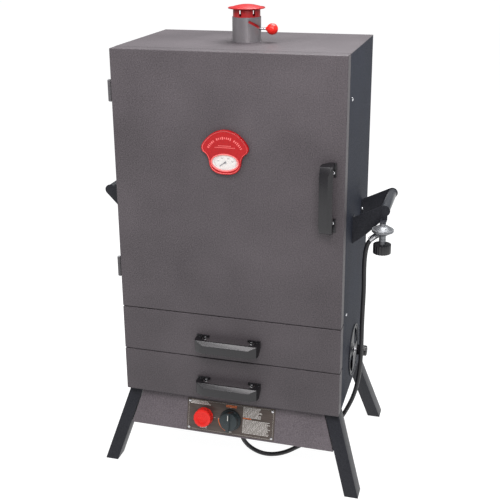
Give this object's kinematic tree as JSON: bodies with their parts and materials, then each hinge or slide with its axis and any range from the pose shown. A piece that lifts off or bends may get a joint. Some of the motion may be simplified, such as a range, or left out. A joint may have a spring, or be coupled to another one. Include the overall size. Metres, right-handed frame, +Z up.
{
  "type": "gas cabinet smoker",
  "caption": "Upright gas-fired smoking cabinet on splayed legs, with a hinged door, drawers, a screw-lift flue cap, side air dampers, a control panel and a hose with its regulator.",
  "frame": {"origin": "on the floor, at the centre of the footprint", "axes": "+Z up, the door and drawers face -Y, +X is the viewer's right"},
  "size_m": [0.819, 0.48, 1.281],
  "materials": {
    "charcoal_powder_coat": "fine textured powder coat",
    "galvanised_sheet": "galvanised",
    "seal_rope": "woven rope",
    "black_plastic": "satin",
    "bright_fasteners": "bright plated",
    "hinge_black": "satin",
    "red_enamel": "gloss",
    "dial_white": "matt printed",
    "clear_lens": "clear",
    "needle_black": "matt",
    "black_porcelain": "gloss porcelain",
    "rack_chrome": "plated wire",
    "flue_grey": "satin",
    "red_plastic": "gloss",
    "bronze_plate": "brushed dark bronze",
    "valve_aluminium": "cast",
    "burner_iron": "rough",
    "electrode_lead": "white ceramic and lead",
    "hose_rubber": "matt",
    "regulator_zinc": "die cast"
  },
  "bodies": {
    "cabinet": {"cabinet_left_side": "charcoal_powder_coat", "cabinet_right_side": "charcoal_powder_coat", "cabinet_back": "charcoal_powder_coat", "cabinet_top": "charcoal_powder_coat", "cabinet_bottom": "charcoal_powder_coat", "apron": "charcoal_powder_coat", "front_left_leg": "charcoal_powder_coat", "front_right_leg": "charcoal_powder_coat", "rear_left_leg": "charcoal_powder_coat", "rear_right_leg": "charcoal_powder_coat", "side_handle_brackets": "charcoal_powder_coat", "side_handle_tubes": "charcoal_powder_coat", "front_frame": "galvanised_sheet", "drawer_runners": "galvanised_sheet", "rack_rails": "galvanised_sheet", "magnetic_catches": "galvanised_sheet", "hinge_pins": "bright_fasteners", "cabinet_bolts": "bright_fasteners", "hinge_cabinet_leaves": "hinge_black", "cooking_rack_1": "rack_chrome", "cooking_rack_2": "rack_chrome", "cooking_rack_3": "rack_chrome", "flue_pipe": "flue_grey", "control_plate": "bronze_plate", "gas_valve": "valve_aluminium", "igniter_body": "black_plastic", "burner": "burner_iron", "igniter_electrode": "electrode_lead", "gas_hose": "hose_rubber", "regulator_body": "regulator_zinc"},
    "door": {"door_panel": "charcoal_powder_coat", "door_liner": "galvanised_sheet", "door_seal": "seal_rope", "door_handle": "black_plastic", "door_handle_screws": "bright_fasteners", "hinge_door_leaves": "hinge_black", "thermometer_plate": "red_enamel", "thermometer_dial": "dial_white", "thermometer_lens": "clear_lens", "thermometer_probe": "bright_fasteners"},
    "needle": {"thermometer_needle": "needle_black"},
    "upper_drawer": {"upper_drawer": "charcoal_powder_coat", "upper_drawer_handle": "black_plastic", "upper_drawer_screws": "bright_fasteners", "water_pan": "black_porcelain"},
    "lower_drawer": {"lower_drawer": "charcoal_powder_coat", "lower_drawer_handle": "black_plastic", "lower_drawer_screws": "bright_fasteners", "wood_chip_box": "black_porcelain"},
    "burner_knob": {"burner_knob": "black_plastic"},
    "igniter_knob": {"igniter_knob": "red_plastic"},
    "flue_cap": {"flue_cap": "red_enamel"},
    "flue_sleeve": {"flue_sleeve": "red_enamel", "flue_lever": "rack_chrome", "flue_ball": "red_plastic"},
    "left_damper": {"left_damper_disc": "charcoal_powder_coat", "left_damper_knob": "black_plastic"},
    "right_damper": {"right_damper_disc": "charcoal_powder_coat", "right_damper_knob": "black_plastic"},
    "coupling_nut": {"coupling_nut": "black_plastic"}
  },
  "joints": [
    {"name": "door_hinge", "type": "hinge", "parent": "cabinet", "child": "door", "pos_m": [-0.3105, -0.195, 0.834], "axis": [0, 0, -1], "range_deg": [0, 180]},
    {"name": "needle_turn", "type": "hinge", "parent": "door", "child": "needle", "pos_m": [0, -0.207, 0.908], "axis": [0, 1, 0], "range_deg": [0, 248], "stiffness_Nm_per_rad": 0.0005},
    {"name": "upper_drawer_slide", "type": "slide", "parent": "cabinet", "child": "upper_drawer", "axis": [0, -1, 0], "range_m": [0, 0.28]},
    {"name": "lower_drawer_slide", "type": "slide", "parent": "cabinet", "child": "lower_drawer", "axis": [0, -1, 0], "range_m": [0, 0.28]},
    {"name": "burner_valve", "type": "hinge", "parent": "cabinet", "child": "burner_knob", "pos_m": [0, -0.21008, 0.16457], "axis": [0, -0.9712, 0.2383], "range_deg": [0, 180]},
    {"name": "igniter_turn", "type": "hinge", "parent": "cabinet", "child": "igniter_knob", "pos_m": [-0.076, -0.21008, 0.16457], "axis": [0, -0.9712, 0.2383], "range_deg": [0, 90], "stiffness_Nm_per_rad": 0.15},
    {"name": "flue_lift", "type": "slide", "parent": "cabinet", "child": "flue_cap", "axis": [0, 0, 1], "range_m": [0, 0.019]},
    {"name": "flue_turn", "type": "hinge", "parent": "flue_cap", "child": "flue_sleeve", "pos_m": [0, 0.003, 1.219], "axis": [0, 0, 1], "range_deg": [-56.5, 0.5]},
    {"name": "left_damper_turn", "type": "hinge", "parent": "cabinet", "child": "left_damper", "pos_m": [-0.306, 0.019, 0.315], "axis": [1, 0, 0], "range_deg": [-40, 50]},
    {"name": "right_damper_turn", "type": "hinge", "parent": "cabinet", "child": "right_damper", "pos_m": [0.306, 0.019, 0.315], "axis": [1, 0, 0], "range_deg": [-40, 50]},
    {"name": "coupling_nut_spin", "type": "hinge", "parent": "cabinet", "child": "coupling_nut", "pos_m": [0.388, -0.086, 0.67], "axis": [0, 0, 1], "continuous": true}
  ],
  "couplings": [
    {"joint": "flue_turn", "follows": "flue_lift", "rad_per_m": -51.44}
  ]
}
